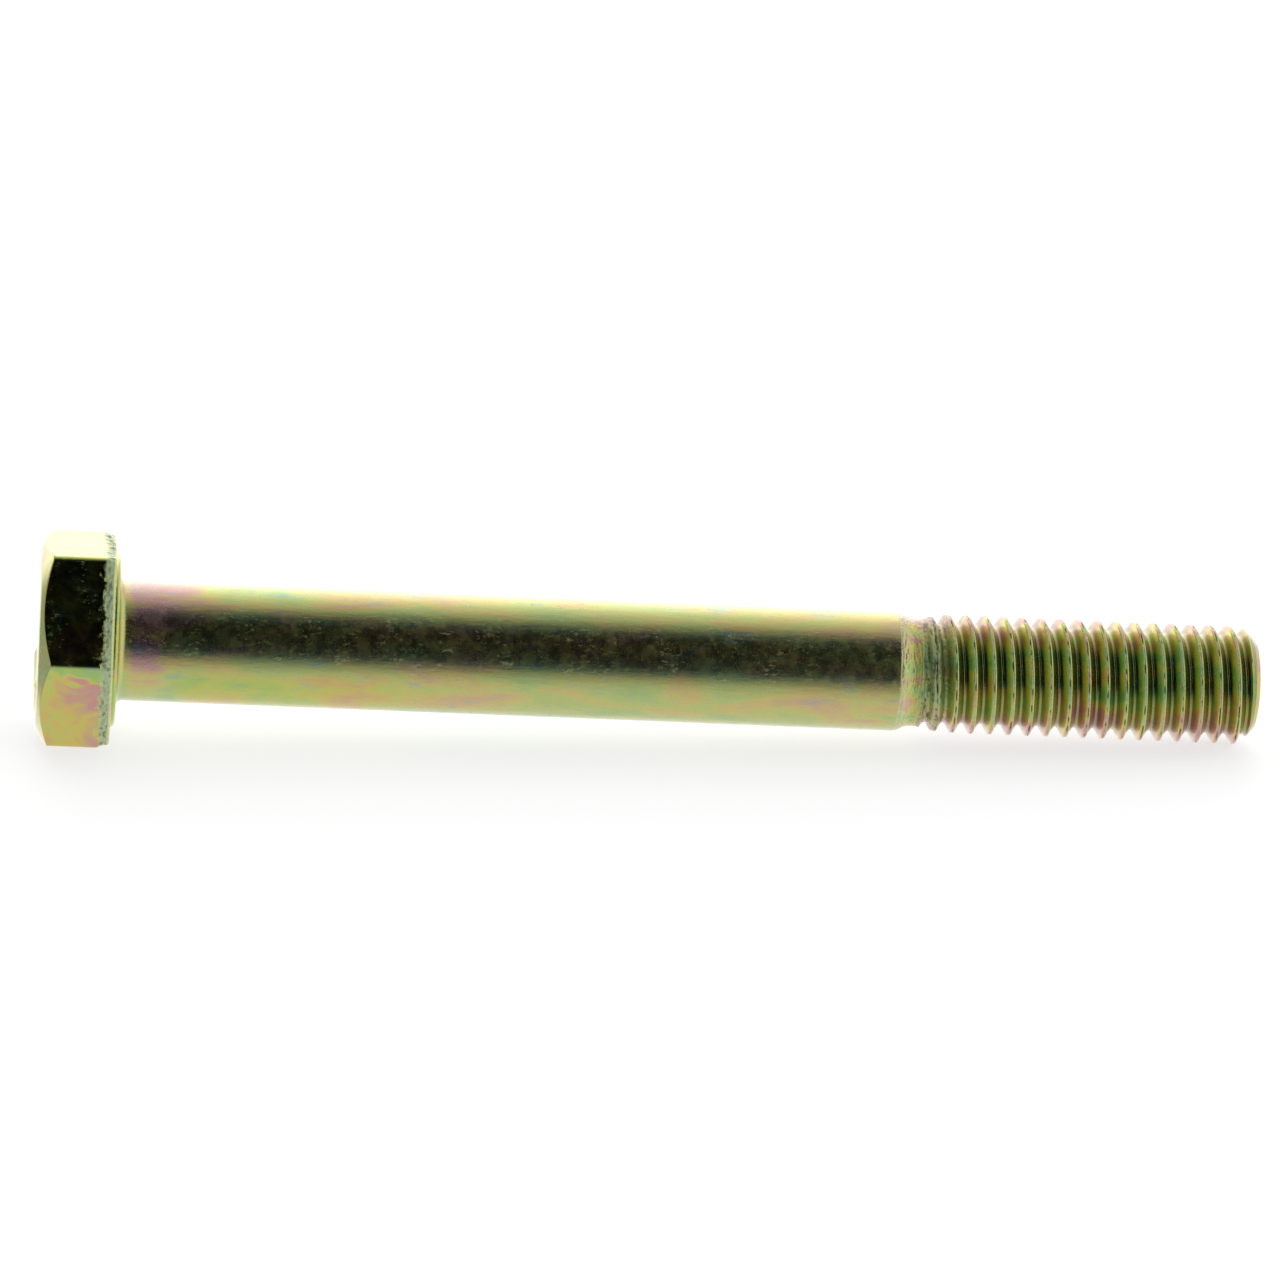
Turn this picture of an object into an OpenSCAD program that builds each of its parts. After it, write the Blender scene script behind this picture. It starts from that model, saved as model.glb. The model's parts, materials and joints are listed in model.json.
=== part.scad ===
// Hex bolt M8 x 1.25 x 75 with a partly threaded shank, laid along the X axis.
// The origin is the centre of the bearing face, on the bolt's axis.
// The threaded end points along +X, and one flat of the head faces down, along -Z.
// The real bolt is one forging. Each node here is one named region of it, and the
// regions meet face to face.

/* [Head] */
// Distance across two opposite flats of the hexagon
across_flats = 12.75; // [12.25:0.05:13.6]
// Height of the head, from the bearing face to the crown
head_h = 5.15; // [4.4:0.05:6.4]
// Diameter of the flat circle in the middle of the crown
crown_d = 11.8; // [10.4:0.1:12.2]
// Angle of the crown's chamfer, measured from the plane of the crown
crown_angle = 30; // [15:1:40]

/* [Crown mark] */
// Outer diameter of the raised arc on the crown
mark_d = 9.8; // [6:0.1:11]
// Width of the raised arc
mark_w = 0.9; // [0.4:0.1:1.6]
// How far the arc stands proud of the crown
mark_h = 0.15; // [0.05:0.05:0.3]
// How far below the middle of the crown the two ends of the arc are
mark_drop = 1.8; // [0:0.1:2.5]

/* [Washer face] */
// Diameter of the washer face, the raised ring under the head
washer_face_d = 11.4; // [10:0.1:12]
// Height of the washer face, counted within the height of the head
washer_face_h = 0.3; // [0.15:0.05:0.6]

/* [Shank] */
// Diameter of the plain part of the shank
shank_d = 7.8; // [7.75:0.05:8]
// Length from the bearing face to the end of the point
bolt_len = 75; // [60:1:120]
// Radius of the fillet where the shank leaves the bearing face
fillet_r = 0.5; // [0.2:0.1:0.6]

/* [Neck] */
// Diameter of the neck, which is the size of the blank before the thread is rolled
neck_d = 7.08; // [7:0.02:7.2]
// Length over which the shank narrows to the neck
shoulder_len = 1.2; // [0.6:0.1:2]
// Length of the plain neck, between the shoulder and the first mark of the thread
neck_len = 0.3; // [0.2:0.1:1]

/* [Thread] */
// Length from the first mark of the thread to the end of the point
thread_len = 22.5; // [12:0.5:40]
// Axial distance from one crest to the next
pitch = 1.25; // [1.1:0.05:1.5]
// Diameter over the crests
major_d = 7.8; // [7.75:0.05:8]
// Diameter at which a ridge and a groove are equally wide
pitch_d = 7.15; // [7.1:0.01:7.2]
// Diameter at the bottom of the grooves
root_d = 6.47; // [6.4:0.01:6.6]
// Length over which the grooves reach their full depth, next to the neck
groove_runout = 0.7; // [0.4:0.1:1.5]
// Length over which the crests reach their full height, next to the neck
crest_runout = 1.7; // [0.8:0.1:2.5]
// Distance from the end of the point back to the last crest line, on the +Y side
crest_back = 0.87; // [0:0.01:1.2]

/* [Point] */
// Diameter of the flat end of the point
point_d = 5.9; // [5:0.1:6.2]
// Angle of the point's chamfer, measured from the axis
point_angle = 45; // [35:1:50]

/* [Hidden] */
// Colour of the yellow zinc plating
plating = [0.74, 0.68, 0.40];
// Steps round a full circle
round_steps = 96;

// Head
corner_d = across_flats / cos(30);
hex_h = head_h - washer_face_h;
crown_x = -head_h;
chamfer_h = (corner_d - crown_d) / 2 * tan(crown_angle);

// Shank and neck
fillet_d = shank_d + 2 * fillet_r;
thread_start = bolt_len - thread_len;
shoulder_start = thread_start - neck_len - shoulder_len;
shoulder_steps = 16;

// Thread profile, with 60 degrees between its flanks
flank_angle = 30;
crest_flat = pitch / 2 - (major_d - pitch_d) * tan(flank_angle);
root_flat = pitch / 2 - (pitch_d - root_d) * tan(flank_angle);

// The thread ends where the chamfer has cut down to the root, and the point goes on from there
point_len = (root_d - point_d) / 2 / tan(point_angle);
thread_end = bolt_len - point_len;

// The thread's surface is stitched from columns of points, one at each step of a turn.
// A column crosses each turn at the same stops: the middle and both edges of the groove
// and of the crest.
turn_steps = 40;
stops = [
    -pitch / 2,
    -pitch / 2 + root_flat / 2,
    -crest_flat / 2,
    0,
    crest_flat / 2,
    pitch / 2 - root_flat / 2
];
stop_count = len(stops);
turn_count = ceil(thread_len / pitch) + 2;
first_crest = bolt_len - crest_back - (turn_count - 1) * pitch;

// Stops keep at least this far from both ends of the thread, so that no face is a sliver
stop_gap = 0.02;

// Axial place of stop q in column i, where q runs on from one turn to the next
function stop_x(i, q) =
    first_crest + pitch * (floor(q / stop_count) + i / turn_steps) + stops[q % stop_count];

// The stops of column i that lie clear of both ends of the thread
function stops_inside(i) = [
    for (q = [0 : stop_count * turn_count - 1])
        if (stop_x(i, q) > thread_start + stop_gap && stop_x(i, q) < thread_end - stop_gap) q
];

// Axial distance from x to the nearest crest line, in column i
function crest_offset(i, x) =
    let (turns = (x - first_crest) / pitch - i / turn_steps)
    abs(turns - round(turns)) * pitch;

// Radius of the endless thread, a given axial distance from its crest line
function profile_r(offset) =
    max(root_d / 2, min(major_d, major_d - 2 * (offset - crest_flat / 2) / tan(flank_angle)) / 2);

// How far x has gone along a ramp of a given length from the start of the thread, 0 to 1
function runout(x, length) = min(1, (x - thread_start) / length);

// Radius of the thread's surface in column i, with its run-out and its chamfered end
function thread_r(i, x) =
    let (floor_d = neck_d - (neck_d - root_d) * runout(x, groove_runout))
    let (ceiling_d = neck_d + (major_d - neck_d) * runout(x, crest_runout))
    let (chamfer_r = point_d / 2 + (bolt_len - x) * tan(point_angle))
    min(ceiling_d / 2, chamfer_r, max(floor_d / 2, profile_r(crest_offset(i, x))));

// Point of the thread's surface in column i, at x
function thread_point(i, x) =
    let (angle = 360 * i / turn_steps)
    let (r = thread_r(i, x))
    [x, r * cos(angle), r * sin(angle)];

// Sum of the first n numbers of a list
function sum_of(list, n) = n == 0 ? 0 : list[n - 1] + sum_of(list, n - 1);

// Turns a shape that stands on the XY plane so that it lies along +X, from x
module along_x(x) {
    translate([x, 0, 0])
        rotate([0, 90, 0])
            children();
}

// Hexagon with its crown chamfered by a cone, which leaves an arc on each flat
module chamfered_hexagon() {
    intersection() {
        along_x(crown_x)
            rotate([0, 0, 30])
                cylinder(h = hex_h, d = corner_d, $fn = 6);
        along_x(crown_x)
            union() {
                cylinder(h = chamfer_h, d1 = crown_d, d2 = corner_d, $fn = round_steps);
                translate([0, 0, chamfer_h])
                    cylinder(h = hex_h, d = corner_d, $fn = round_steps);
            }
    }
}

// Plain arc in low relief round the lower half of the crown, sunk as deep as it stands proud
module crown_mark() {
    difference() {
        along_x(crown_x - mark_h)
            difference() {
                cylinder(h = 2 * mark_h, d = mark_d, $fn = round_steps);
                translate([0, 0, -mark_h])
                    cylinder(h = 4 * mark_h, d = mark_d - 2 * mark_w, $fn = round_steps);
            }
        translate([crown_x - 2 * mark_h, -mark_d, -mark_drop])
            cube([4 * mark_h, 2 * mark_d, mark_d]);
    }
}

module hex_head() {
    color(plating)
        union() {
            chamfered_hexagon();
            crown_mark();
        }
}

// Ring that bears on the work, around the foot of the shank's fillet
module washer_face() {
    color(plating)
        along_x(-washer_face_h)
            difference() {
                cylinder(h = washer_face_h, d = washer_face_d, $fn = round_steps);
                translate([0, 0, -washer_face_h])
                    cylinder(h = 3 * washer_face_h, d = fillet_d, $fn = round_steps);
            }
}

// Foot inside the washer face, fillet, and plain cylinder up to the shoulder
module shank() {
    color(plating)
        union() {
            along_x(-washer_face_h)
                cylinder(h = washer_face_h, d = fillet_d, $fn = round_steps);
            along_x(0)
                rotate_extrude($fn = round_steps)
                    difference() {
                        square([fillet_d / 2, fillet_r]);
                        translate([fillet_d / 2, fillet_r])
                            circle(r = fillet_r, $fn = round_steps);
                    }
            along_x(fillet_r)
                cylinder(h = shoulder_start - fillet_r, d = shank_d, $fn = round_steps);
        }
}

// Shoulder that falls from the shank in a half cosine, and the plain neck after it
module neck() {
    color(plating)
        along_x(shoulder_start)
            rotate_extrude($fn = round_steps)
                polygon([
                    [0, 0],
                    for (i = [0 : shoulder_steps])
                        let (fall = (1 - cos(180 * i / shoulder_steps)) / 2)
                        [(shank_d - (shank_d - neck_d) * fall) / 2, shoulder_len * i / shoulder_steps],
                    [neck_d / 2, shoulder_len + neck_len],
                    [0, shoulder_len + neck_len]
                ]);
}

// Right-hand thread, with its run-out at the neck and its chamfered last turn
module thread() {
    inside = [for (i = [0 : turn_steps - 1]) stops_inside(i)];
    sizes = [for (column = inside) len(column) + 2];
    bases = [for (i = [0 : turn_steps - 1]) sum_of(sizes, i)];
    ends = [for (i = [0 : turn_steps - 1]) bases[i] + sizes[i] - 1];
    points = [
        for (i = [0 : turn_steps - 1])
            for (x = [thread_start, for (q = inside[i]) stop_x(i, q), thread_end])
                thread_point(i, x)
    ];
    // Each step joins column i to column j. The last step comes back to column 0, one turn on.
    sides = [
        for (i = [0 : turn_steps - 1])
            let (j = (i + 1) % turn_steps)
            let (shift = i < turn_steps - 1 ? 0 : stop_count)
            let (low = inside[i][0])
            let (high = inside[j][len(inside[j]) - 1] - shift)
            let (here = bases[i] + 1 - low)
            let (there = bases[j] + 1 - inside[j][0] + shift)
            each concat(
                [[bases[i], here + low, there + low]],
                [for (k = [bases[j] : there + low - 1]) [bases[i], k + 1, k]],
                [for (q = [low : high - 1]) each [
                    [here + q, here + q + 1, there + q + 1],
                    [here + q, there + q + 1, there + q]
                ]],
                [[ends[j], there + high, here + high]],
                [for (k = [here + high : ends[i] - 1]) [ends[j], k, k + 1]]
            )
    ];
    end_face = [for (i = [turn_steps - 1 : -1 : 0]) ends[i]];
    color(plating)
        polyhedron(points, concat(sides, [bases], [end_face]), convexity = 10);
}

// Chamfered end beyond the last groove
module point() {
    color(plating)
        along_x(thread_end)
            cylinder(h = point_len, d1 = root_d, d2 = point_d, $fn = round_steps);
}

hex_head();
washer_face();
shank();
neck();
thread();
point();
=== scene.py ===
import json
import math

import bpy
import numpy as np
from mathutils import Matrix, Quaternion, Vector, noise


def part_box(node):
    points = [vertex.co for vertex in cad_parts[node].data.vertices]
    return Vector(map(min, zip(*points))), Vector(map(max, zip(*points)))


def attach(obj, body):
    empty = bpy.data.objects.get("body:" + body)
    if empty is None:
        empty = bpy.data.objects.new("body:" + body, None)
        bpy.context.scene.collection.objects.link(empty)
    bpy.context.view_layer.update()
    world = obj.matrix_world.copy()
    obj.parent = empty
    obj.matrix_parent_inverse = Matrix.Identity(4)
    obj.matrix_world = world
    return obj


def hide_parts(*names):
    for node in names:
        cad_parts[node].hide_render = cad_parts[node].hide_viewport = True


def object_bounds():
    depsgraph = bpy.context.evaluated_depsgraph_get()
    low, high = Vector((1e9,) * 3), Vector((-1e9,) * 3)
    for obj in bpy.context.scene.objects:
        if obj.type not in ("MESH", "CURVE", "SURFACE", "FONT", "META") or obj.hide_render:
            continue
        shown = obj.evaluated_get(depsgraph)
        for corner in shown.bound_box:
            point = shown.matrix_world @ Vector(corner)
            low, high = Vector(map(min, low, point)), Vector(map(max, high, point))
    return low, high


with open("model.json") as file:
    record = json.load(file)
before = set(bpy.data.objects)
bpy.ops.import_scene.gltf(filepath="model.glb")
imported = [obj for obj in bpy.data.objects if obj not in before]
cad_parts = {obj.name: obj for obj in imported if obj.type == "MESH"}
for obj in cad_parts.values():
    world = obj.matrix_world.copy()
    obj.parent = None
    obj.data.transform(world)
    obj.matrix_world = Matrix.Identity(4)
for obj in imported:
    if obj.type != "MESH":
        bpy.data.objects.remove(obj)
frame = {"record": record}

CAD_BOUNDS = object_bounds()

# All sizes below are in millimetres and degrees, and MM turns them into metres.
MM = 0.001

# Camera, at the photograph's viewing angle
VIEW_YAW = 5.66
VIEW_ELEVATION = 14.53
VIEW_ROLL = 3.76
VIEW_DISTANCE = 453.7
LENS = 194.6
AIM_OFFSET = (-0.7, 0, 1.44)

# Thread, as in the CAD
PITCH = 1.25
PITCH_RADIUS = 3.575
FLANK_SLOPE = math.sqrt(3)
CREST_BACK = 0.87
GROOVE_RUNOUT = 0.7
CREST_RUNOUT = 1.7


def box_mm(node):
    """Lowest and highest corner of a CAD node, in millimetres."""
    low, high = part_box(node)
    return np.array(low) / MM, np.array(high) / MM


def mount(name):
    return next(m for m in frame["record"]["mounts"] if m["name"] == name)


HEAD_LOW, HEAD_HIGH = box_mm("hex_head")
WASHER_LOW, WASHER_HIGH = box_mm("washer_face")
SHANK_LOW, SHANK_HIGH = box_mm("shank")
NECK_LOW, NECK_HIGH = box_mm("neck")
THREAD_LOW, THREAD_HIGH = box_mm("thread")
POINT_LOW, POINT_HIGH = box_mm("point")

CROWN_X = mount("crown")["pos_m"][0] / MM
MARK_HEIGHT = CROWN_X - HEAD_LOW[0]
HEAD_BACK_X = HEAD_HIGH[0]
FLAT_RADIUS = HEAD_HIGH[2]
SHANK_RADIUS = mount("shank")["dims"]["r_mm"]
FOOT_RADIUS = SHANK_HIGH[2]
MAJOR_RADIUS = NECK_HIGH[2]
ROOT_RADIUS = POINT_HIGH[2]
BOLT_END = POINT_HIGH[0]
NECK_RADIUS = 3.54
CROWN_RADIUS = 5.9

# Head: rounded corners, crown chamfer, raised arc, and the edge that the trimming die tore
CORNER_ROUND = 0.036
CHAMFER_ANGLE = 30
CHAMFER_END = 1.0
ARC_RADIUS = 4.45
ARC_HALF_WIDTH = 0.45
ARC_HALF_SPAN = 60
STRIP_ROOM = 1.05
STRIP_WIDTH = 0.74
EDGE_ROUND = 0.22
EDGE_DROP = 0.26

# Washer face, neck and thread: rounded edge, shoulder, crest seams, and marks of the dies
WASHER_ROUND = 0.22
WASHER_WALL = 0.04
SHOULDER_LENGTH = 1.2
NECK_GRIT_DEPTH = 0.045
SEAM_WIDTH = 0.036
SEAM_DEPTH = 0.014
SEAM_DASH_DEPTH = 0.08
START_GRIT_DEPTH = 0.09


# ---------------------------------------------------------------- shaping tools

# Edges with a sharper turn than this are shaded sharp.
SHARP_ANGLE = 50
# How far apart two seeds look in the noise
SEED_STEP = 17.3


def smooth_min(a, b, width):
    """The smaller of two numbers, with the corner between them rounded over width."""
    near = np.maximum(width - np.abs(a - b), 0) / width
    return np.minimum(a, b) - near ** 2 * width / 4


def smooth_max(a, b, width):
    return -smooth_min(-a, -b, width)


def smooth_step(t):
    """0 up to t = 0, 1 from t = 1, and a smooth rise between them."""
    t = np.clip(t, 0, 1)
    return t * t * (3 - 2 * t)


def bumps(points, size, seed):
    """Perlin noise at each point, from -1 to 1, with features about size millimetres across."""
    size = np.broadcast_to(np.asarray(size, float), (3,))
    scaled = np.asarray(points).reshape(-1, 3) / size + seed * SEED_STEP
    values = np.array([noise.noise(p) for p in scaled])
    return values.reshape(np.asarray(points).shape[:-1])


def polar(x, radius, angle):
    """Points round the bolt's axis, with angle 0 at +Y and 90 degrees at +Z."""
    x, radius, angle = np.broadcast_arrays(x, radius, angle)
    return np.stack([x, radius * np.cos(angle), radius * np.sin(angle)], axis=-1)


def full_turn(count=256):
    return np.arange(count) * 2 * math.pi / count


def make_object(name, points, faces, material):
    """Mesh object from points in millimetres, smooth shaded except at sharp edges."""
    mesh = bpy.data.meshes.new(name)
    mesh.from_pydata((np.asarray(points) * MM).tolist(), [], faces)
    mesh.validate()
    mesh.shade_smooth()
    mesh.set_sharp_from_angle(angle=math.radians(SHARP_ANGLE))
    mesh.materials.append(material)
    piece = bpy.data.objects.new(name, mesh)
    bpy.context.scene.collection.objects.link(piece)
    return piece


def points_mm(piece):
    return np.array([v.co for v in piece.data.vertices]) / MM


def add_attribute(piece, name, values):
    layer = piece.data.attributes.new(name, "FLOAT", "POINT")
    layer.data.foreach_set("value", np.asarray(values, dtype=np.float32))


def ring_faces(count, around, closed):
    """Four-sided faces between rings of points that follow one another."""
    faces = []
    for k in range(count if closed else count - 1):
        a, b = k * around, (k + 1) % count * around
        for i in range(around):
            j = (i + 1) % around
            faces.append((a + i, a + j, b + j, b + i))
    return faces


def ring_solid(name, rings, material, closed=False):
    """Solid from rings of points. An open run of rings is closed at both ends by a fan."""
    count, around = rings.shape[:2]
    points = rings.reshape(-1, 3)
    faces = ring_faces(count, around, closed)
    if not closed:
        first, last = rings[0].mean(axis=0), rings[-1].mean(axis=0)
        points = np.vstack([points, first, last])
        start, end = count * around, count * around + 1
        base = (count - 1) * around
        faces += [(start, (i + 1) % around, i) for i in range(around)]
        faces += [(end, base + i, base + (i + 1) % around) for i in range(around)]
    return make_object(name, points, faces, material)


def turned_solid(name, profile, angle, material, closed=False):
    """Ring solid from (x, radius) pairs turned round the bolt's axis."""
    rings = np.array([polar(x, r, angle) for x, r in profile])
    return ring_solid(name, rings, material, closed)


# ---------------------------------------------------------------- nodes

class Nodes:
    """Short way to write the nodes of a material or of the world."""

    def __init__(self, tree):
        self.tree = tree

    def add(self, kind, inputs=(), **settings):
        node = self.tree.nodes.new(kind)
        for key, value in settings.items():
            setattr(node, key, value)
        for key, value in dict(inputs).items():
            self.feed(node.inputs[key], value)
        return node

    def feed(self, socket, value):
        if isinstance(value, bpy.types.NodeSocket):
            self.tree.links.new(value, socket)
        else:
            socket.default_value = value

    def math(self, operation, a, b=0.0):
        return self.add("ShaderNodeMath", {0: a, 1: b}, operation=operation).outputs[0]

    def attribute(self, name):
        return self.add("ShaderNodeAttribute", attribute_name=name).outputs["Fac"]

    def place(self, stretch=(1, 1, 1)):
        """Object coordinates in millimetres, squeezed by stretch."""
        coords = self.add("ShaderNodeTexCoord").outputs["Object"]
        scale = [1 / MM / s for s in stretch]
        return self.add("ShaderNodeMapping", {"Vector": coords, "Scale": scale}).outputs[0]

    def noise(self, vector, scale, detail=3.0, rough=0.5, distortion=0.0):
        node = self.add("ShaderNodeTexNoise", {
            "Vector": vector, "Scale": scale, "Detail": detail,
            "Roughness": rough, "Distortion": distortion,
        })
        return node.outputs["Fac"]

    def ramp(self, value, stops):
        """Colour ramp from (place, colour) pairs."""
        node = self.add("ShaderNodeValToRGB", {"Fac": value})
        elements = node.color_ramp.elements
        while len(elements) < len(stops):
            elements.new(0.5)
        for element, (place, colour) in zip(elements, stops):
            element.position = place
            element.color = (*colour, 1)
        return node.outputs["Color"]

    def remap(self, value, low, high, to_low=0, to_high=1):
        node = self.add("ShaderNodeMapRange", {
            "Value": value, "From Min": low, "From Max": high,
            "To Min": to_low, "To Max": to_high,
        })
        return node.outputs["Result"]

    def mix(self, factor, a, b):
        node = self.add("ShaderNodeMix", data_type="RGBA")
        self.feed(node.inputs["Factor"], factor)
        self.feed(node.inputs[6], a)
        self.feed(node.inputs[7], b)
        return node.outputs[2]

    def bump(self, height, depth, normal=None):
        """Bump from a height between 0 and 1 that stands for depth millimetres."""
        node = self.add("ShaderNodeBump", {"Height": height, "Distance": depth * MM})
        if normal is not None:
            self.tree.links.new(normal, node.inputs["Normal"])
        return node.outputs["Normal"]


def new_material(name):
    """A material, the writer of its nodes, and the sockets of its shader."""
    material = bpy.data.materials.new(name)
    material.use_nodes = True
    shader = material.node_tree.nodes["Principled BSDF"]
    return material, Nodes(material.node_tree), shader.inputs


# ---------------------------------------------------------------- materials

# Colours that the chromate film takes as its thickness changes, from thin to thick
FILM = [
    (0.28, (0.25, 0.45, 0.13)),
    (0.37, (0.39, 0.51, 0.13)),
    (0.45, (0.50, 0.53, 0.11)),
    (0.51, (0.60, 0.47, 0.11)),
    (0.57, (0.57, 0.39, 0.17)),
    (0.63, (0.56, 0.28, 0.24)),
    (0.74, (0.50, 0.28, 0.25)),
]
BARE_ZINC = (0.56, 0.63, 0.41, 1)
PIT_GREY = (0.42, 0.52, 0.46, 1)
STAIN = (0.27, 0.44, 0.40, 1)
PALE_FILM = (0.55, 0.55, 0.48, 1)
# Painted shade for the thread's roots, crest seams and dents; on the head, the dark of the pits in
# the torn strip
SHADE_AND_PIT_DARK = (0.09, 0.10, 0.03, 1)

# How much of each colour shows where its mask is 1
STAIN_AMOUNT = 0.6
PIT_AMOUNT = 0.5
WORN_AMOUNT = 0.9
SHADE_AND_PIT_AMOUNT = 0.75

# What each mask adds to the roughness
SHINE_SWING = 0.06
PIT_ROUGHNESS = 0.22
TORN_ROUGHNESS = 0.12
SCUFF_ROUGHNESS = 0.10

# Depths of the bumps, in millimetres
LINE_DEPTH = 0.0016
GRAIN_DEPTH = 0.004
PIT_DEPTH = 0.006
TORN_DEPTH = 0.13
# Drawn flecks are deepest on the shank, which was drawn through a die.
FLECK_DEPTH = {"yellow_zinc_head": 0.003, "yellow_zinc_shank": 0.012, "yellow_zinc_thread": 0.006}


def plating(name, stretch, patch, detail, shift, spread, roughness, seed):
    """Yellow zinc over steel: film colours in patches, drawn flecks, pits and fine scratches.

    The patches come from noise of scale patch, drawn out by stretch. Its values are spread over
    the width spread of FILM, round the middle plus shift.
    Attributes of the mesh's points steer it. "film" is added to the film's place in FILM, "pale"
    fades the film,
    "worn" bares the zinc, the groove shade mask paints shade into grooves and dents and darkens
    pits, and "rough" is torn metal.
    """
    material, n, shader = new_material(name)
    even = n.place()
    offset = (seed, seed * 2, seed * 3)
    flow = n.add("ShaderNodeVectorMath", {0: n.place(stretch), 1: offset}).outputs[0]
    rough = n.attribute("rough")

    grain = n.noise(even, 1.2, detail=3, rough=0.6)
    lines = n.noise(n.place((14, 0.35, 0.35)), 1.0, detail=3)
    flecks = n.noise(n.place((5, 1, 1)), 3.2, detail=3, rough=0.6)
    coarse = n.noise(even, 6.0, detail=4, rough=0.75)
    pits = n.noise(n.place((2, 1, 1)), 4.5, detail=4, rough=0.7)
    gather = n.remap(n.noise(even, 0.55, detail=2), 0.42, 0.62, 0.15, 1)
    pit_mask = n.math("MULTIPLY", n.remap(pits, 0.56, 0.70), gather)
    stains = n.noise(n.place((3, 1, 1)), 0.9, detail=5, rough=0.7)
    scuffs = n.remap(n.noise(even, 1.5, detail=5, rough=0.75, distortion=1.2), 0.56, 0.72)

    film = n.noise(flow, patch, detail=detail, rough=0.55, distortion=0.6)
    film = n.remap(film, 0, 1, 0.5 + shift - spread / 2, 0.5 + shift + spread / 2)
    colour = n.ramp(n.math("ADD", film, n.attribute("film")), FILM)
    colour = n.mix(n.attribute("pale"), colour, PALE_FILM)
    colour = n.mix(n.remap(stains, 0.59, 0.68, 0, STAIN_AMOUNT), colour, STAIN)
    colour = n.mix(n.math("MULTIPLY", pit_mask, PIT_AMOUNT), colour, PIT_GREY)
    colour = n.mix(n.math("MULTIPLY", n.attribute("worn"), WORN_AMOUNT), colour, BARE_ZINC)
    # Painted shade in the thread's grooves, seams and dents, and dark pits in the head's torn strip
    colour = n.mix(n.math("MULTIPLY", n.attribute("deep"), SHADE_AND_PIT_AMOUNT), colour, SHADE_AND_PIT_DARK)

    shine = n.remap(grain, 0.3, 0.7, roughness - SHINE_SWING, roughness + SHINE_SWING)
    shine = n.math("ADD", shine, n.math("MULTIPLY", pit_mask, PIT_ROUGHNESS))
    shine = n.math("ADD", shine, n.math("MULTIPLY", rough, TORN_ROUGHNESS))
    shine = n.math("ADD", shine, n.math("MULTIPLY", scuffs, SCUFF_ROUGHNESS))

    normal = n.bump(lines, LINE_DEPTH)
    normal = n.bump(grain, GRAIN_DEPTH, normal)
    normal = n.bump(flecks, FLECK_DEPTH[name], normal)
    normal = n.bump(pit_mask, PIT_DEPTH, normal)
    normal = n.bump(n.math("MULTIPLY", coarse, rough), TORN_DEPTH, normal)

    n.feed(shader["Base Color"], colour)
    n.feed(shader["Roughness"], shine)
    n.feed(shader["Normal"], normal)
    shader["Metallic"].default_value = 1.0
    shader["Coat Weight"].default_value = 0.7
    shader["Coat Roughness"].default_value = 0.2
    shader["Specular Tint"].default_value = (0.97, 0.93, 0.86, 1)
    return material


# ---------------------------------------------------------------- head

def hexagon(angle):
    """Distance from the axis to the hexagon's side, with its six corners a little rounded."""
    reach = np.full_like(angle, -1.0)
    for side in range(6):
        normal = math.radians(30 + 60 * side)
        reach = smooth_max(reach, np.cos(angle - normal), CORNER_ROUND)
    return FLAT_RADIUS / reach


def head_angles():
    """Angles round the head, close together at the six corners."""
    from_corner = [0, 0.25, 0.5, 0.75, 1, 1.3, 1.6, 2, 2.4] + list(np.arange(2.9, 30, 0.5))
    sector = sorted({-d for d in from_corner} | set(from_corner) | {30})
    return np.radians([60 * k + d for k in range(6) for d in sector])


def crown_relief(radius, angle):
    """Height of the plain arc raised on the lower half of the crown, from 0 to 1."""
    from_bottom = np.arctan2(np.sin(angle + math.pi / 2), np.cos(angle + math.pi / 2))
    past_end = np.maximum(np.abs(from_bottom) - math.radians(ARC_HALF_SPAN), 0)
    along_arc = 2 * ARC_RADIUS * np.sin(past_end / 2)
    to_arc = np.hypot(radius - ARC_RADIUS, along_arc) - ARC_HALF_WIDTH
    return smooth_step((0.26 - to_arc) / 0.56)


def torn_width(angle):
    """Width of the strip that the trimming die tore along the head's lower edge."""
    ring = polar(0 * angle, 6.5, angle)
    slow = STRIP_WIDTH + 0.12 * np.cos(angle - math.radians(200))
    return (slow + 0.24 * bumps(ring, 1.1, 1) + 0.2 * bumps(ring, 0.35, 2)
            + 0.12 * bumps(ring, 0.15, 9))


def torn_edge(x, side, angle):
    """How far the torn strip drops below the flats at one ring, and how torn it is there."""
    points = polar(x, side, angle)
    ragged = (0.10 * bumps(points, 0.12, 11) + 0.16 * bumps(points, 0.27, 12)
              + 0.12 * bumps(points, 0.7, 18))
    into = np.clip((x - HEAD_BACK_X + torn_width(angle)) / 0.75, 0, 1)
    edge = smooth_step((into + ragged * (1 - into)) / 0.35)
    rough = 0.05 * bumps(points, 0.2, 3) + 0.09 * bumps(points, (0.3, 0.5, 0.5), 4)
    drop = edge * (0.015 + rough) + EDGE_DROP * into ** 1.3
    return np.maximum(drop, 0), edge


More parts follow.
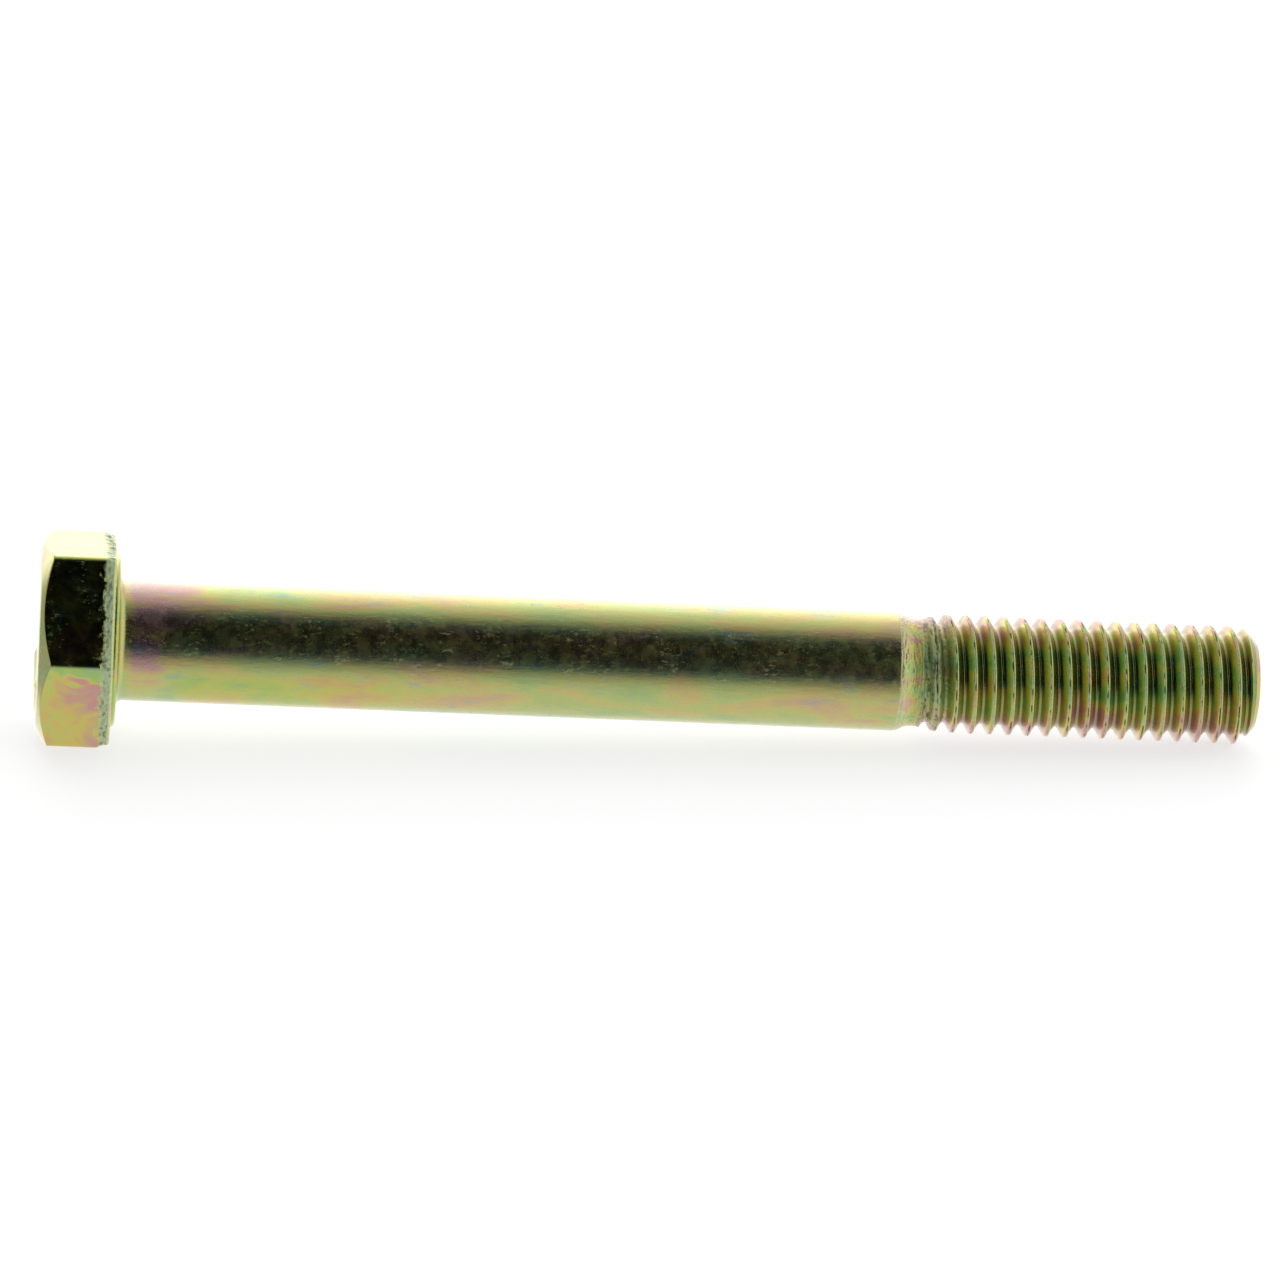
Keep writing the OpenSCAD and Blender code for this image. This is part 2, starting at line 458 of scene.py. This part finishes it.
def head_rings():
    """Rings of the head from the crown to its back, and how torn and how worn each point is."""
    angle = head_angles()
    side = hexagon(angle)
    rings, torn, worn = [], [], []

    def add(x, r, torn_here=0.0, worn_here=0.0):
        rings.append(polar(x, r, angle))
        torn.append(np.broadcast_to(torn_here, angle.shape))
        worn.append(np.broadcast_to(worn_here, angle.shape))

    for r in [1, 2, 3] + list(np.arange(3.6, 5.3, 0.05)) + [5.45, 5.6, 5.75]:
        relief = crown_relief(r, angle)
        add(CROWN_X - MARK_HEIGHT * relief, r, worn_here=0.3 * relief)
    for x, r in ((0.005, 5.82), (0.02, 5.88), (0.045, 5.95)):
        add(CROWN_X + x, r, worn_here=0.6)
    for step in np.arange(0.07, CHAMFER_END, 0.03):
        cone = CROWN_RADIUS + step / math.tan(math.radians(CHAMFER_ANGLE))
        on_cone = smooth_step((side - cone) / 0.1 + 0.6)
        add(CROWN_X + step, smooth_min(side, cone, 0.07), worn_here=0.35 * on_cone)
    strip_start, strip_end = HEAD_BACK_X - STRIP_ROOM, HEAD_BACK_X - EDGE_ROUND
    for x in np.arange(CROWN_X + CHAMFER_END, strip_start, 0.25):
        add(x, side)
    for x in np.append(np.arange(strip_start, strip_end, 0.036), strip_end):
        drop, edge = torn_edge(x, side, angle)
        add(x, side - drop, edge, 0.8 * edge)
    last = np.hypot(rings[-1][:, 1], rings[-1][:, 2])
    for turn in np.radians([15, 30, 45, 60, 75, 90]):
        inset = EDGE_ROUND * (1 - math.cos(turn))
        x = HEAD_BACK_X - EDGE_ROUND * (1 - math.sin(turn))
        add(x, last - inset, max(0.6 - turn, 0.1), 0.5)
    for r in (6.0, 5.4, 4.5):
        add(HEAD_BACK_X, np.minimum(r, last - EDGE_ROUND - 0.01))
    return np.array(rings), np.array(torn).ravel(), np.array(worn).ravel()


def make_head(material):
    """Forged hexagon: chamfered crown with a raised arc, and a torn strip along the lower edge.

    The lower faces change from green over pink to gold as they go down.
    """
    rings, torn, worn = head_rings()
    piece = ring_solid("hex_head_forged", rings, material)
    torn, worn = np.append(torn, [0, 0]), np.append(worn, [0, 0])
    points = points_mm(piece)
    x, z = points[:, 0], points[:, 2]
    sway = bumps(points, 2, 13)
    depth = -z - 0.4 * (x + 3) + 0.6 * sway + 0.9 * bumps(points, 0.9, 22)
    pink = smooth_step((depth - 0.6) / 0.6)
    gold = smooth_step((depth - 2.2) / 0.9)
    margin = smooth_step((CROWN_X + 1.4 + 0.8 * sway - x) / 0.7) * (1 - gold)
    lower_bands = 0.29 * pink - 0.08 * gold - 0.17 * margin * pink - 0.17
    bands = np.where(z < 0, lower_bands, 0.12 * sway - 0.05)
    strip_pits = torn * smooth_step(4 * bumps(points, (0.2, 0.35, 0.35), 19) - 0.7)
    crown = 1 - smooth_step((x - CROWN_X - 0.1) / 1.0)
    film = bands * (1 - torn) * (1 - crown) - 0.20 * torn - 0.03 * crown
    add_attribute(piece, "rough", torn)
    add_attribute(piece, "worn", worn)
    # The torn strip's dark pits share the mask that paints shade into the thread's grooves
    add_attribute(piece, "deep", 0.8 * strip_pits)
    add_attribute(piece, "film", film)
    return piece


# ---------------------------------------------------------------- washer face, shank, neck, point

def make_washer_face(material):
    """Bearing ring under the head, with its outer edge rounded towards the shank."""
    outer, inner, low, high = WASHER_HIGH[2], FOOT_RADIUS, WASHER_LOW[0], WASHER_HIGH[0]
    profile = [(low, inner), (low, outer), (low + WASHER_WALL, outer)]
    round_x = high - low - WASHER_WALL
    for turn in np.radians(np.arange(10, 91, 10)):
        x = high - round_x * (1 - math.sin(turn))
        profile.append((x, outer - WASHER_ROUND * (1 - math.cos(turn))))
    profile += [(high, 5.2), (high, 4.8), (high, inner)]
    piece = turned_solid("washer_face_ring", profile, full_turn(), material, closed=True)
    points = points_mm(piece)
    add_attribute(piece, "film", -0.10 + 0.04 * bumps(points, 2, 14))
    add_attribute(piece, "rough", 0.15 + 0.15 * np.maximum(bumps(points, 0.5, 15), 0))
    return piece


def make_shank(material):
    """Drawn shank with its fillet.

    The finish is rougher and redder next to the head, and lime on the lower side after that.
    """
    fillet = FOOT_RADIUS - SHANK_RADIUS
    profile = [(SHANK_LOW[0], FOOT_RADIUS), (0, FOOT_RADIUS)]
    for turn in np.radians(np.arange(9, 91, 9)):
        profile.append((fillet * (1 - math.cos(turn)), FOOT_RADIUS - fillet * math.sin(turn)))
    profile += [(x, SHANK_RADIUS) for x in np.linspace(fillet, SHANK_HIGH[0], 250)[1:]]
    piece = turned_solid("shank_body", profile, full_turn(), material)
    points = points_mm(piece)
    x, height = points[:, 0], points[:, 2] / SHANK_RADIUS
    edge = 0.8 * bumps(points, (1.5, 0.7, 0.7), 10)
    near_head = smooth_step((3.4 - x + edge) / 0.7)
    near_neck = smooth_step((x - SHANK_HIGH[0] + 1.0 + edge) / 1.2)
    on_top = smooth_step((height - 0.35) / 0.3)
    under = smooth_step((-height - 0.15) / 0.3)
    low_side = smooth_step((-height - 0.6) / 0.3)
    red = smooth_step((4.0 + 3.5 * on_top - x + 2 * edge) / 2.5) * smooth_step((x - 0.5) / 0.6)
    lime = smooth_step((x - 3) / 1.5) * smooth_step((24 - x) / 12) * under
    slope = height * (0.03 - 0.04 * (x / SHANK_HIGH[0]))
    film = 0.14 * red * (1 - 0.35 * under) + slope - 0.04 * low_side + 0.02 * lime
    add_attribute(piece, "rough", 0.14 * near_head + 0.15 * near_neck)
    add_attribute(piece, "film", film)
    add_attribute(piece, "pale", 0.17 - 0.17 * lime)
    return piece


def make_neck(material):
    """Shoulder down to the neck, left rough by the thread rolling dies."""
    angle = full_turn(360)
    rings = []
    for x in np.linspace(NECK_LOW[0], NECK_HIGH[0], 56):
        drop = (1 - math.cos(math.pi * min((x - NECK_LOW[0]) / SHOULDER_LENGTH, 1))) / 2
        inside = smooth_step((x - NECK_LOW[0]) / 0.15) * smooth_step((NECK_HIGH[0] - x) / 0.1)
        points = polar(x, MAJOR_RADIUS - (MAJOR_RADIUS - NECK_RADIUS) * drop, angle)
        grit = 0.5 + 0.8 * bumps(points, (0.14, 0.6, 0.6), 16) + 0.5 * bumps(points, 0.14, 17)
        dents = NECK_GRIT_DEPTH * inside * np.maximum(grit, 0)
        radius = np.hypot(points[:, 1], points[:, 2]) - dents
        rings.append(polar(x, radius, angle))
    piece = ring_solid("neck_body", np.array(rings), material)
    points = points_mm(piece)
    x = points[:, 0]
    add_attribute(piece, "rough", 0.3 + 0.4 * smooth_step((x - NECK_LOW[0] - 0.7) / 0.5))
    add_attribute(piece, "worn", 0.10 + 0.35 * smooth_step((NECK_LOW[0] + 0.75 - x) / 0.4))
    add_attribute(piece, "film", 0.16 * bumps(points, 0.9, 20))
    return piece


def make_point(material):
    """Chamfered end: a 45 degree cone, a slightly rounded edge and a flat end face."""
    length = BOLT_END - POINT_LOW[0]
    tip = ROOT_RADIUS - length
    cone = (0, 0.25, 0.5, 0.75, 0.92)
    profile = [(POINT_LOW[0] + length * t, ROOT_RADIUS - length * t) for t in cone]
    profile += [(BOLT_END - 0.008, tip - 0.015), (BOLT_END, tip - 0.06)]
    profile += [(BOLT_END, r) for r in (2.4, 1.8, 1.2, 0.6)]
    return turned_solid("chamfered_point", profile, full_turn(120), material)


# ---------------------------------------------------------------- thread

TURN_STEPS = 144
# Axial places of the points on each side of a crest, closest together at the seam
HALF_STOPS = (0, 0.03, 0.055, 0.08, 0.1, 0.12, 0.14, 0.165, 0.2, 0.25, 0.31, 0.37,
              0.42, 0.46, 0.5, 0.54, 0.58)
STOPS = sorted({-s for s in HALF_STOPS} | set(HALF_STOPS) | {PITCH / 2})
TURNS = math.ceil((THREAD_HIGH[0] - THREAD_LOW[0]) / PITCH) + 2
FIRST_CREST = BOLT_END - CREST_BACK - (TURNS - 1) * PITCH


def thread_radius(x, column):
    """Radius of the rolled thread along one column, with round roots, seamed crests and run-out.

    Also gives three masks from 0 to 1: the crests, the rough start, and the painted shade in the
    grooves, crest seams and dents.
    """
    angle = 2 * math.pi * column / TURN_STEPS
    turns = (x - FIRST_CREST) / PITCH - column / TURN_STEPS
    side = (turns - np.round(turns)) * PITCH
    offset = np.abs(side)
    on_crest = polar(x - side, MAJOR_RADIUS, angle)
    into = x - THREAD_LOW[0]
    floor = NECK_RADIUS - (NECK_RADIUS - ROOT_RADIUS) * np.minimum(into / GROOVE_RUNOUT, 1)
    ceiling = NECK_RADIUS + (MAJOR_RADIUS - NECK_RADIUS) * np.minimum(into / CREST_RUNOUT, 1)
    flank = PITCH_RADIUS + (PITCH / 4 - offset) * FLANK_SLOPE
    radius = smooth_min(smooth_max(flank, floor, 0.15), ceiling, 0.07)
    wander = 0.03 * bumps(on_crest, 1.3, 5)
    dash = smooth_step(4 * bumps(on_crest, 0.6, 6) - 0.25)
    seam = np.exp(-((side - wander) / SEAM_WIDTH) ** 2)
    radius = radius - (SEAM_DEPTH + SEAM_DASH_DEPTH * dash) * seam
    start = 1 - smooth_step((into - 1.2) / 1.2)
    crest = smooth_step((flank - ceiling) / 0.08 - 0.7)
    nicks = 0.03 * np.maximum(bumps(on_crest, 0.5, 7) - 0.35, 0) / 0.3
    surface = polar(x, radius, angle)
    grit = 0.8 * bumps(surface, 0.16, 8) + bumps(surface, (0.14, 1.2, 1.2), 21)
    radius = radius - crest * nicks - start * START_GRIT_DEPTH * np.maximum(grit + 0.1, 0)
    chamfer = ROOT_RADIUS + THREAD_HIGH[0] - x
    radius = smooth_min(radius, chamfer, 0.05)
    # Painted shade: darker towards the roots, in the crest seams and in the deepest dents of the
    # rough start
    deep = 0.7 * smooth_step((PITCH_RADIUS + 0.12 - radius) / 0.25) * (1 - start)
    deep = np.maximum(deep, seam * (0.2 + 0.8 * dash))
    deep = np.maximum(deep, start * smooth_step(5 * grit - 0.9))
    return radius, crest, start, deep


def thread_columns():
    """Axial places in each column of points, and the running number of its first stop."""
    low, high, gap = THREAD_LOW[0], THREAD_HIGH[0], 0.01
    columns = []
    for i in range(TURN_STEPS):
        crests = [FIRST_CREST + PITCH * (turn + i / TURN_STEPS) for turn in range(TURNS)]
        x = np.array([crest + s for crest in crests for s in STOPS])
        inside = np.flatnonzero((x > low + gap) & (x < high - gap))
        columns.append((np.concatenate([[low], x[inside], [high]]), inside[0]))
    return columns


def thread_faces(columns, bases, ends):
    """Faces between neighbouring columns, where each turn of the thread meets the next."""
    faces = []
    for i in range(TURN_STEPS):
        j = (i + 1) % TURN_STEPS
        shift = 0 if j else len(STOPS)
        low, first_j = columns[i][1], columns[j][1] - shift
        high = first_j + len(columns[j][0]) - 3
        here, there = bases[i] + 1 - low, bases[j] + 1 - first_j
        faces.append((here + low, bases[i], there + low))
        faces += [(k + 1, bases[i], k) for k in range(bases[j], there + low)]
        faces += [(here + q, there + q, there + q + 1, here + q + 1) for q in range(low, high)]
        faces.append((there + high, ends[j], here + high))
        faces += [(k, ends[j], k + 1) for k in range(here + high, ends[i])]
    return faces


def make_thread(material):
    """Closed helical solid, stitched column by column from the neck to the point."""
    columns = thread_columns()
    points, bases, crests, starts, groove_shades = [], [], [], [], []
    for i, (x, _) in enumerate(columns):
        radius, crest, start, deep = thread_radius(x, i)
        radius[0], radius[-1] = NECK_RADIUS, ROOT_RADIUS
        crests.append(crest)
        starts.append(start)
        groove_shades.append(deep)
        bases.append(sum(len(p) for p in points))
        points.append(polar(x, radius, 2 * math.pi * i / TURN_STEPS))
    ends = [base + len(p) - 1 for base, p in zip(bases, points)]
    faces = thread_faces(columns, bases, ends)
    points = np.vstack(points)
    start, end = len(points), len(points) + 1
    points = np.vstack([points, [THREAD_LOW[0], 0, 0], [THREAD_HIGH[0], 0, 0]])
    for i in range(TURN_STEPS):
        j = (i + 1) % TURN_STEPS
        faces += [(start, bases[j], bases[i]), (end, ends[i], ends[j])]
    piece = make_object("rolled_thread", points, faces, material)
    crest, start, deep = (
        np.append(np.concatenate(values), [0, 0]) for values in (crests, starts, groove_shades)
    )
    angle = np.arctan2(points[:, 2], points[:, 1])
    top_and_bottom = np.cos(angle - math.radians(75)) ** 4
    height = np.minimum(np.sin(angle), 0.6)
    film = 0.21 * top_and_bottom - 0.07 - 0.05 * height + 0.04 * crest
    add_attribute(piece, "worn", np.maximum(0.7 * crest * (1 - top_and_bottom), 0.35 * start))
    add_attribute(piece, "rough", np.maximum(0.6 * crest, 0.8 * start))
    add_attribute(piece, "film", film)
    # Painted shade in the thread's grooves, seams and dents
    add_attribute(piece, "deep", deep)
    return piece


# ---------------------------------------------------------------- stage

FLOOR_REACH = 3000
FLOOR_GLOW = 0.70
FLOOR_TONE = (0.44, 0.46)


def floor_material():
    """Pale floor with a faint tone in it. It glows a little, so that it reads as white."""
    material, n, shader = new_material("pale_floor")
    tone = n.remap(n.noise(n.place(), 0.02, detail=2), 0.3, 0.7, *FLOOR_TONE)
    n.feed(shader["Base Color"], n.mix(tone, (0, 0, 0, 1), (1, 1, 1, 1)))
    shader["Roughness"].default_value = 0.7
    shader["Emission Color"].default_value = (1, 1, 1, 1)
    shader["Emission Strength"].default_value = FLOOR_GLOW
    return material


def make_floor():
    """Floor that the bolt lies on, touching the head's lower flat and the thread's last crests."""
    head_x, head_z = HEAD_BACK_X, -FLAT_RADIUS
    tip_x, tip_z = BOLT_END - CREST_BACK, -MAJOR_RADIUS
    slope = math.atan2(tip_z - head_z, tip_x - head_x)
    mesh = bpy.data.meshes.new("floor")
    along = Vector((math.cos(slope), 0, math.sin(slope))) * FLOOR_REACH
    across = Vector((0, FLOOR_REACH, 0))
    foot = Vector((head_x, 0, head_z))
    near, far = foot - along, foot + along
    corners = [near - across, far - across, far + across, near + across]
    mesh.from_pydata([c * MM for c in corners], [], [(0, 1, 2, 3)])
    mesh.materials.append(floor_material())
    floor = bpy.data.objects.new("floor", mesh)
    bpy.context.scene.collection.objects.link(floor)
    floor.visible_glossy = False


# Light that the bolt mirrors, by the angle from the front horizon over the top to the back.
# Below the horizon it stands for the floor, which mirrors leave out.
LIGHT_BY_ANGLE = [
    (-180, 1.3), (-120, 0.92), (-60, 0.86), (-40, 0.76), (-28, 0.58), (-18, 0.35), (-8, 0.10),
    (2, 0.02), (25, 0.004), (45, 0.001), (60, 0.005), (73, 0.07), (86, 0.30), (99, 0.65),
    (113, 0.9), (123, 1.15), (136, 1.6), (165, 2.0), (180, 1.5),
]
BRIGHTEST = 2.0
# Below this level the light turns colder.
DIM = 0.12
DIM_TINT = (0.66, 1.10, 2.20)
# Levels of the zones that lie to the sides, and how far to the side each one fades in
GAP_LEVEL, GAP_FROM, GAP_TO = 0.35, 0.30, 0.48
SIDE_LEVEL, SIDE_FROM, SIDE_TO = 0.47, 0.62, 0.76
RIGHT_LEVEL, RIGHT_FROM, RIGHT_TO = 1.02, 0.34, 0.58
# The gap lies only above the horizon, and fades in between these heights.
GAP_LOW, GAP_HIGH = 0.15, 0.35
BACKGROUND_LEVEL = 1.2


def make_light():
    """White studio all round, with a dark zone in front of the bolt, above the floor."""
    world = bpy.data.worlds.new("studio")
    bpy.context.scene.world = world
    world.use_nodes = True
    world.node_tree.nodes.clear()
    n = Nodes(world.node_tree)

    def blend(factor, a, level):
        return n.mix(factor, a, (level / BRIGHTEST,) * 3 + (1,))

    stops = []
    for degrees, level in LIGHT_BY_ANGLE:
        tint = DIM_TINT if level < DIM else (1, 1, 1)
        stops.append(((degrees + 180) / 360, [level / BRIGHTEST * t for t in tint]))

    way = n.add("ShaderNodeTexCoord").outputs["Generated"]
    parts = n.add("ShaderNodeSeparateXYZ", {0: way}).outputs
    front = n.math("MULTIPLY", parts["Y"], -1.0)
    rise = n.math("ARCTAN2", parts["Z"], front)
    shade = n.ramp(n.remap(rise, -math.pi, math.pi), stops)
    side = n.math("ABSOLUTE", parts["X"])
    above = n.remap(parts["Z"], GAP_LOW, GAP_HIGH)
    gap = n.math("MULTIPLY", n.remap(side, GAP_FROM, GAP_TO), above)
    shade = blend(gap, shade, GAP_LEVEL)
    shade = blend(n.remap(side, SIDE_FROM, SIDE_TO), shade, SIDE_LEVEL)
    shade = blend(n.remap(parts["X"], RIGHT_FROM, RIGHT_TO), shade, RIGHT_LEVEL)

    lit = n.add("ShaderNodeBackground", {"Color": shade, "Strength": BRIGHTEST})
    seen = n.add("ShaderNodeBackground", {"Color": (1, 1, 1, 1), "Strength": BACKGROUND_LEVEL})
    ray = n.add("ShaderNodeLightPath").outputs["Is Camera Ray"]
    both = n.add("ShaderNodeMixShader", {0: ray, 1: lit.outputs[0], 2: seen.outputs[0]})
    n.add("ShaderNodeOutputWorld", {"Surface": both.outputs[0]})


def make_camera():
    data = bpy.data.cameras.new("camera")
    data.lens = LENS
    data.clip_start, data.clip_end = 0.01, 20
    camera = bpy.data.objects.new("camera", data)
    bpy.context.scene.collection.objects.link(camera)
    low, high = CAD_BOUNDS
    aim = (low + high) / 2 + Vector(AIM_OFFSET) * MM
    yaw, rise = math.radians(VIEW_YAW), math.radians(VIEW_ELEVATION)
    level = math.cos(rise)
    look = Vector((math.sin(yaw) * level, math.cos(yaw) * level, -math.sin(rise)))
    camera.location = aim - look * VIEW_DISTANCE * MM
    camera.rotation_mode = "QUATERNION"
    roll = Quaternion((0, 0, 1), math.radians(VIEW_ROLL))
    camera.rotation_quaternion = look.to_track_quat("-Z", "Y") @ roll
    bpy.context.scene.camera = camera


# ---------------------------------------------------------------- the object

def place_piece(piece, slot, *nodes):
    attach(piece, "root")
    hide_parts(*nodes)


head_zinc = plating("yellow_zinc_head", stretch=(1, 1, 1), patch=0.34, detail=2.5,
                    shift=0.0, spread=0.5, roughness=0.17, seed=3.1)
shank_zinc = plating("yellow_zinc_shank", stretch=(3, 1, 1), patch=0.5, detail=3.5,
                     shift=-0.04, spread=0.6, roughness=0.26, seed=1.7)
thread_zinc = plating("yellow_zinc_thread", stretch=(2, 1, 1), patch=0.6, detail=4,
                      shift=0.0, spread=0.9, roughness=0.22, seed=5.3)

place_piece(make_head(head_zinc), "yellow_zinc_head", "hex_head")
place_piece(make_washer_face(head_zinc), "yellow_zinc_head", "washer_face")
place_piece(make_shank(shank_zinc), "yellow_zinc_shank", "shank")
place_piece(make_neck(thread_zinc), "yellow_zinc_thread", "neck")
place_piece(make_thread(thread_zinc), "yellow_zinc_thread", "thread")
place_piece(make_point(thread_zinc), "yellow_zinc_thread", "point")

make_floor()
make_light()
make_camera()
bpy.context.scene.view_settings.view_transform = "Standard"
